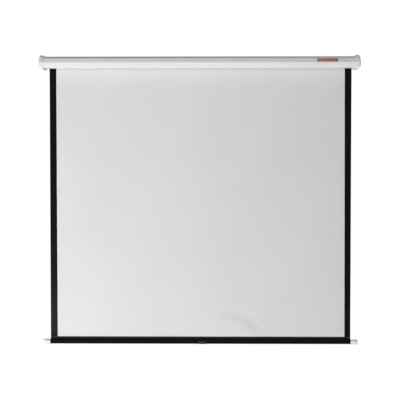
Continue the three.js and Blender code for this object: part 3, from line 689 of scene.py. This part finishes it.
labelValues = {
    "length": 120 * mm, "height": 23 * mm, "thickness": 0.5 * mm,
    "corner": 3 * mm, "softEdge": 0.15 * mm,
    "endBand": 5 * mm, "bandBlur": 0.3 * mm, "bandColour": (0.05, 0.045, 0.047, 1),
}


def bandLabelEnds(material, middleX, values):
    # A dark band over each end of the label
    tree = material.node_tree
    base = tree.nodes["Principled BSDF"].inputs["Base Color"]
    across = addNode(tree, "SeparateXYZ", {"Vector": objectPlace(tree)}).outputs["X"]
    away = math2(tree, "ABSOLUTE", math2(tree, "SUBTRACT", across, middleX))
    edge, blur = values["length"] / 2 - values["endBand"], values["bandBlur"]
    band = ranged(tree, away, edge - blur, edge + blur, 0.0, 1.0)
    tree.links.new(blendColours(tree, band, base.links[0].from_socket, values["bandColour"]), base)


def makeLabel(values):
    low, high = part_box("label_plate")
    middle = (low + high) / 2
    bm = bmesh.new()
    bmesh.ops.create_grid(bm, x_segments=1, y_segments=1, size=0.5)
    bmesh.ops.scale(bm, vec=(values["length"], values["height"], 1), verts=bm.verts)
    for corner in bm.verts[:]:
        bmesh.ops.bevel(bm, geom=[corner], offset=values["corner"], segments=6, profile=0.5,
                        affect="VERTICES", material=-1)
    prism(bm, bm.faces[:], Vector((0, 0, values["thickness"])))
    bmesh.ops.translate(bm, vec=(0, 0, -values["thickness"] / 2), verts=bm.verts)
    bmesh.ops.recalc_face_normals(bm, faces=bm.faces)
    softenEdges(bm, values["softEdge"])
    turn = Matrix.Translation(middle) @ Matrix.Rotation(math.pi / 2 - caseValues["slope"], 4, "X")
    bmesh.ops.transform(bm, matrix=turn, verts=bm.verts)
    piece = meshObject("label_bar", bm)
    bandLabelEnds(labelFilm, middle.x, values)
    dress(piece, "housing", [labelFilm], ["label_plate"])


makeLabel(labelValues)
print("label made")


# Screen cloth: one hanging sheet, softly waved, with a pucker above the hem

clothValues = {
    "columns": 190, "rows": 150, "crowding": 1.5, "tuck": 1 * mm,
    # length, depth and phase of each; they grow with that power of the way down
    "waves": [(0.61, 0.9 * mm, 0.4), (0.37, 0.6 * mm, 1.9), (0.235, 0.35 * mm, 4.1)], "growth": 0.8,
    "pucker": {
        "x": 0.176, "halfWidth": 0.164, "height": 0.13, "depth": 4.5 * mm, "root": 10 * mm,
        "leftShare": 0.35, "rim": (0.7, 1.02),  # shares of its right rim's depth and of its reach
        "valleyReach": 1.19, "valleyWidth": 0.15, "valleyShare": 0.38,
    },
}
hemLow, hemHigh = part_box("hem_pocket")


def smoothStep(low, high, value):
    share = max(0.0, min(1.0, (value - low) / (high - low)))
    return share * share * (3 - 2 * share)


def puckerPush(x, rise, values):
    # An arched swelling: it falls steeply at its right rim, with a shallow valley beyond
    across = (x - values["x"]) / values["halfWidth"]
    up = rise / values["height"]
    reach = math.hypot(across, up)
    turn = math.atan2(up, across)  # 0 at the right foot, pi at the left
    strength = values["leftShare"] + (1 - values["leftShare"]) * math.cos(turn / 2) ** 2
    swell = 1 - smoothStep(*values["rim"], reach)
    valley = math.exp(-((reach - values["valleyReach"]) / values["valleyWidth"]) ** 2)
    return values["depth"] * strength * (swell - values["valleyShare"] * valley)


def clothPush(x, z, top, bottom, values):
    # How far the cloth stands forward of its plane
    share = (top - z) / (top - bottom)
    rise = z - bottom
    waves = sum(depth * math.sin(2 * math.pi * x / length + phase)
                for length, depth, phase in values["waves"])
    held = 1 - math.exp(-rise / values["pucker"]["root"])  # the hem holds it straight
    return (waves * share ** values["growth"] + puckerPush(x, rise, values["pucker"])) * held


def makeCloth(values):
    top, bottom = clothHigh.z, hemHigh.z - values["tuck"]
    width, middle = clothHigh.x - clothLow.x, (clothHigh.x + clothLow.x) / 2
    bm = bmesh.new()
    bmesh.ops.create_grid(bm, x_segments=values["columns"], y_segments=values["rows"], size=0.5)
    clothMap = bm.loops.layers.uv.new("clothMap")
    for vert in bm.verts:
        across, up = vert.co.x, max(0.0, vert.co.y + 0.5) ** values["crowding"]
        vert.co = (across * width, 0, bottom + up * (top - bottom))
    for face in bm.faces:
        for loop in face.loops:
            place = loop.vert.co
            loop[clothMap].uv = (place.x / width + 0.5, (place.z - bottom) / (top - bottom))
    for vert in bm.verts:
        vert.co.y = clothY - clothPush(vert.co.x, vert.co.z, top, hemHigh.z, values)
        vert.co.x += middle
    bmesh.ops.recalc_face_normals(bm, faces=bm.faces)
    bm.faces.ensure_lookup_table()
    if bm.faces[0].normal.y > 0:
        bmesh.ops.reverse_faces(bm, faces=bm.faces)
    piece = meshObject("screen_fabric", bm)
    thickness = thicken(piece, clothThickness, offset=0.0)
    thickness.material_offset = 1
    thickness.material_offset_rim = 1
    sides = [screenFaceFinish(clothLook, width), blackClothFinish("clothBacking", clothLook)]
    dress(piece, "housing", sides, ["screen_cloth"])
    drop = top - bottom
    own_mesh(piece)
    return piece, (width, drop)


screenFabric, fabricCut = makeCloth(clothValues)
print("cloth made")


# The turns of cloth that stay on the roller

turnsValues = {"pitch": 0.85 * mm, "turns": 1.5, "perTurn": 64}


def makeTurns(values):
    low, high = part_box("cloth_wraps")
    tubeLow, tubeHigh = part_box("roller_tube")
    axis = Vector((0, (tubeLow.y + tubeHigh.y) / 2, 0))
    outer = high.y - axis.y - clothThickness / 2
    perTurn = values["perTurn"]
    step = Matrix.Rotation(2 * math.pi / perTurn, 3, "X")
    bm = bmesh.new()
    first, second = bm.verts.new((low.x, axis.y + outer, 0)), bm.verts.new((high.x, axis.y + outer, 0))
    edges = [bm.edges.new((first, second))]
    radius, length = outer, 0.0
    for _ in range(int(values["turns"] * perTurn)):
        smaller = radius - values["pitch"] / perTurn
        edges = pulled(bm, edges, Vector((0, 0, 0)))
        ends = [vert for edge in edges for vert in edge.verts]
        bmesh.ops.rotate(bm, cent=axis, matrix=step, verts=ends)
        shrink = smaller / radius
        bmesh.ops.scale(bm, vec=(1, shrink, shrink), space=Matrix.Translation(-axis), verts=ends)
        length += 2 * math.pi * radius / perTurn
        radius = smaller
    bmesh.ops.recalc_face_normals(bm, faces=bm.faces)
    piece = meshObject("fabric_turns", bm)
    thicken(piece, clothThickness, offset=0.0)
    backing = blackClothFinish("turnsBacking", clothLook)
    dress(piece, "roller", [backing], ["cloth_wraps"])


makeTurns(turnsValues)
print("turns made")


# Hem: the cloth's end folded round the bar and welded to itself

hemValues = {
    "thickness": 0.5 * mm, "slack": 0.3 * mm, "neck": 8 * mm, "neckRadius": 6 * mm, "plyGap": 0.05 * mm,
    "columns": 220, "roundSteps": 40, "longest": 4 * mm, "weldBlur": 0.5 * mm,
    "ripple": 0.35 * mm, "rippleLength": 0.083, "rippleStray": (2.2, 7.3), "rippleBand": (0.2, 0.9),
}


def makeHem(values):
    barLow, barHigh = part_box("bottom_tube")
    barRadius = (barHigh.z - barLow.z) / 2
    centre = Vector((0, (barLow.y + barHigh.y) / 2, (barLow.z + barHigh.z) / 2))
    radius = barRadius + values["slack"] + values["thickness"] / 2
    neckTop, neckBottom = hemHigh.z, hemHigh.z - values["neck"]
    reach = neckBottom - centre.z
    tangent = math.acos(radius / reach)
    aside, above = radius * math.sin(tangent), radius * math.cos(tangent)
    half = values["thickness"] / 2 + values["plyGap"]
    bm = bmesh.new()
    x = hemLow.x
    frontTop = bm.verts.new((x, centre.y - half, neckTop))
    frontNeck = bm.verts.new((x, centre.y - half, neckBottom))
    start = bm.verts.new((x, centre.y - aside, centre.z + above))
    bm.edges.new((frontTop, frontNeck))
    bm.edges.new((frontNeck, start))
    made = bmesh.ops.spin(bm, geom=[start], cent=centre, axis=alongX, angle=2 * (math.pi - tangent),
                          steps=values["roundSteps"])["geom_last"]
    last = pickOut(made, bmesh.types.BMVert)[0]
    backNeck = bm.verts.new((x, centre.y + half, neckBottom))
    backTop = bm.verts.new((x, centre.y + half, neckTop))
    bm.edges.new((last, backNeck))
    bm.edges.new((backNeck, backTop))
    for neck in (frontNeck, backNeck):
        roundCorner(bm, neck, values["neckRadius"], 4)
    straight = [edge for edge in bm.edges if edge.calc_length() > values["longest"]]
    bmesh.ops.subdivide_edges(bm, edges=straight, cuts=4)
    width = hemHigh.x - hemLow.x
    edges = bm.edges[:]
    for _ in range(values["columns"]):
        edges = pulled(bm, edges, Vector((width / values["columns"], 0, 0)))
    weld = bm.verts.layers.float.new("weldBand")
    blur = values["weldBlur"]
    stray, strayRate = values["rippleStray"]
    rippleFrom, rippleTo = (share * radius for share in values["rippleBand"])
    for vert in bm.verts:
        rise = vert.co.z - centre.z
        vert[weld] = smoothStep(neckBottom - blur - centre.z, neckBottom + blur - centre.z, rise)
        slackHere = smoothStep(rippleFrom, rippleTo, rise) * (1 - vert[weld])
        phase = stray * math.sin(strayRate * vert.co.x)
        wave = math.sin(2 * math.pi * vert.co.x / values["rippleLength"] + phase)
        vert.co.y += values["ripple"] * slackHere * wave
    bmesh.ops.recalc_face_normals(bm, faces=bm.faces)
    lowest = min(bm.faces, key=lambda face: face.calc_center_median().z)
    if lowest.normal.z > 0:
        bmesh.ops.reverse_faces(bm, faces=bm.faces)
    piece = meshObject("hem", bm)
    thicken(piece, values["thickness"], offset=0.0)
    hemCloth = blackClothFinish("hemCloth", clothLook, ribbed=True)
    dress(piece, "bottom_bar", [hemCloth], ["hem_pocket"])
    return piece


hem = makeHem(hemValues)
print("hem made")


# Bar knobs and pull grip

knobValues = {
    "plugRadius": 11 * mm, "plugLength": 25 * mm, "collarRadius": 12.5 * mm, "collarLength": 3 * mm,
    "neckRadius": 14.6 * mm, "neckLength": 16 * mm, "radius": 16 * mm, "length": 25 * mm,
    "grooveFrom": 6 * mm, "grooveTo": 8 * mm, "grooveDepth": 1.2 * mm, "steps": 64,
    # profile corner and radius: plug, collar, neck, head, groove, outer end
    "rounds": [(1, 1 * mm), (3, 0.5 * mm), (4, 0.8 * mm), (6, 1 * mm), (7, 1.8 * mm), (8, 0.5 * mm),
               (11, 0.5 * mm), (12, 7 * mm)],
}
gripValues = {"softEdge": 0.5 * mm, "segments": 3}


def makeKnobs(values):
    for side, facing in (("left", -1), ("right", 1)):
        node = "bar_knob_" + side
        low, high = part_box(node)
        y, z = (low.y + high.y) / 2, (low.z + high.z) / 2
        inner = low.x if facing > 0 else high.x
        start = values["plugLength"]
        collarEnd, neckEnd = start + values["collarLength"], start + values["neckLength"]
        grooveFrom, grooveTo = neckEnd + values["grooveFrom"], neckEnd + values["grooveTo"]
        end = neckEnd + values["length"]
        plug, collar, neck = values["plugRadius"], values["collarRadius"], values["neckRadius"]
        outer, sunk = values["radius"], values["radius"] - values["grooveDepth"]
        profile = [
            (0, 0), (0, plug), (start, plug), (start, collar), (collarEnd, collar), (collarEnd, neck),
            (neckEnd, neck), (neckEnd, outer), (grooveFrom, outer), (grooveFrom, sunk),
            (grooveTo, sunk), (grooveTo, outer), (end, outer), (end, 0),
        ]
        piece = turnedPiece("knob_" + side, profile, inner, y, z, facing,
                            values["steps"], values["rounds"])
        dress(piece, "bottom_bar", [knobPlastic], [node])


makeKnobs(knobValues)
grip = copyOfNode("hem_grip", "pull_grip", gripValues["softEdge"], gripValues["segments"])
dress(grip, "bottom_bar", [gripPlastic], ["pull_grip"])
print("knobs and grip made")


# CAD nodes that stay get their finishes

finishes = {
    "case_paint": casePaint, "cap_plastic": capPlastic, "label_red": labelFilm,
    "zinc_steel": zincPlate, "dark_steel": darkSteel, "nylon": nylonPlastic,
    "knob_plastic": knobPlastic, "grip_black": gripPlastic,
}
for row in frame["record"]["subparts"]:
    if row["material_slot"] in finishes:
        node = frame["nodes"][row["node"]]
        node.data.materials.clear()
        node.data.materials.append(finishes[row["material_slot"]])


# Room: pale floor, a world light mostly from below, soft lamps from the lower left and one behind

roomValues = {
    "floor": (0, 0.4, -2.6), "floorSize": (5.2, 3.4), "floorGlow": 0.3,
    "fade": (0.35, 0.95),  # shares of the way from the floor's middle to its rim
    "floorLook": {
        "colour": (0.86, 0.86, 0.86), "cloud": 0.02, "cloudScale": 1.5, "gloss": (0.6, 0.7),
        "glossScale": 5.0, "grainScale": 300.0, "grainDepth": 0.1 * mm,
        "sockets": {"Specular IOR Level": 0.3, "Emission Color": (1, 1, 1, 1)},
    },
    "lightBelow": 0.22, "lightAbove": 0.03, "lightBand": (-0.25, 0.0),  # heights it changes over
    "aim": (0, 0, -0.8),
    "lamps": {
        "key": {"place": (-3.5, -5, -3.6), "size": 2.0, "power": 410},
        "left": {"place": (-4.5, -4.5, 0.2), "size": 2.0, "power": 15},
        "right": {"place": (3, -5, -3.4), "size": 2.0, "power": 6},
        "upper": {"place": (0, -3.9, 1.45), "size": 2.0, "power": 31},
        "back": {"place": (1.6, 4.4, 2.4), "size": 3.0, "power": 170},
    },
}


def areaLamp(name, place, aim, size, power):
    lamp = bpy.data.lights.new(name, "AREA")
    lamp.shape = "SQUARE"
    lamp.size = size
    lamp.energy = power
    lampObject = bpy.data.objects.new(name, lamp)
    lampObject.location = place
    lampObject.rotation_euler = (Vector(aim) - Vector(place)).to_track_quat("-Z", "Y").to_euler()
    bpy.context.scene.collection.objects.link(lampObject)


def makeRoom(values):
    scene = bpy.context.scene
    scene.view_settings.view_transform = "Standard"
    world = bpy.data.worlds.new("paleRoom")
    scene.world = world
    world.use_nodes = True
    tree = world.node_tree
    background = tree.nodes["Background"]
    rays = addNode(tree, "LightPath")
    shown = math2(tree, "MAXIMUM", rays.outputs["Is Camera Ray"], rays.outputs["Is Glossy Ray"])
    shown = math2(tree, "MAXIMUM", shown, rays.outputs["Is Transmission Ray"])
    around = addNode(tree, "TexCoord").outputs["Generated"]
    up = addNode(tree, "SeparateXYZ", {"Vector": around}).outputs["Z"]
    light = ranged(tree, up, *values["lightBand"], values["lightBelow"], values["lightAbove"])
    tree.links.new(math2(tree, "MAXIMUM", shown, light), background.inputs["Strength"])
    background.inputs["Color"].default_value = (1, 1, 1, 1)

    bm = bmesh.new()
    bmesh.ops.create_grid(bm, x_segments=1, y_segments=1, size=0.5)
    bmesh.ops.scale(bm, vec=(*values["floorSize"], 1), verts=bm.verts)
    bmesh.ops.translate(bm, vec=values["floor"], verts=bm.verts)
    floor = meshObject("floor", bm)
    paleFloor = mouldedFinish("paleFloor", values["floorLook"])
    floor.data.materials.append(paleFloor)
    tree = paleFloor.node_tree
    # The floor turns into the white background towards its rim
    seen = addNode(tree, "LightPath").outputs["Is Camera Ray"]
    spread = [2 / size for size in values["floorSize"]]
    inputs = {"Vector": objectPlace(tree), "Scale": (*spread, 0),
              "Location": (0, -values["floor"][1] * spread[1], 0)}
    place = addNode(tree, "Mapping", inputs).outputs[0]
    reach = addNode(tree, "VectorMath", {0: place}, operation="LENGTH").outputs["Value"]
    glow = math2(tree, "MULTIPLY", seen, ranged(tree, reach, *values["fade"], values["floorGlow"], 1.0))
    tree.links.new(glow, tree.nodes["Principled BSDF"].inputs["Emission Strength"])
    for name, lamp in values["lamps"].items():
        areaLamp(name, lamp["place"], values["aim"], lamp["size"], lamp["power"])


cameraValues = {
    "place": (0.0411, -4.0073, -0.73), "aim": (0.0044, -0.0177, -0.8172),
    "lens": 60.0, "sensorWidth": 36.0,
}


def makeCamera(values):
    camera = bpy.data.cameras.new("camera")
    camera.lens = values["lens"]
    camera.sensor_width = values["sensorWidth"]
    cameraObject = bpy.data.objects.new("camera", camera)
    cameraObject.location = values["place"]
    aim = Vector(values["aim"]) - Vector(values["place"])
    cameraObject.rotation_euler = aim.to_track_quat("-Z", "Y").to_euler()
    bpy.context.scene.collection.objects.link(cameraObject)
    bpy.context.scene.camera = cameraObject


makeRoom(roomValues)
makeCamera(cameraValues)
print("room and camera made")
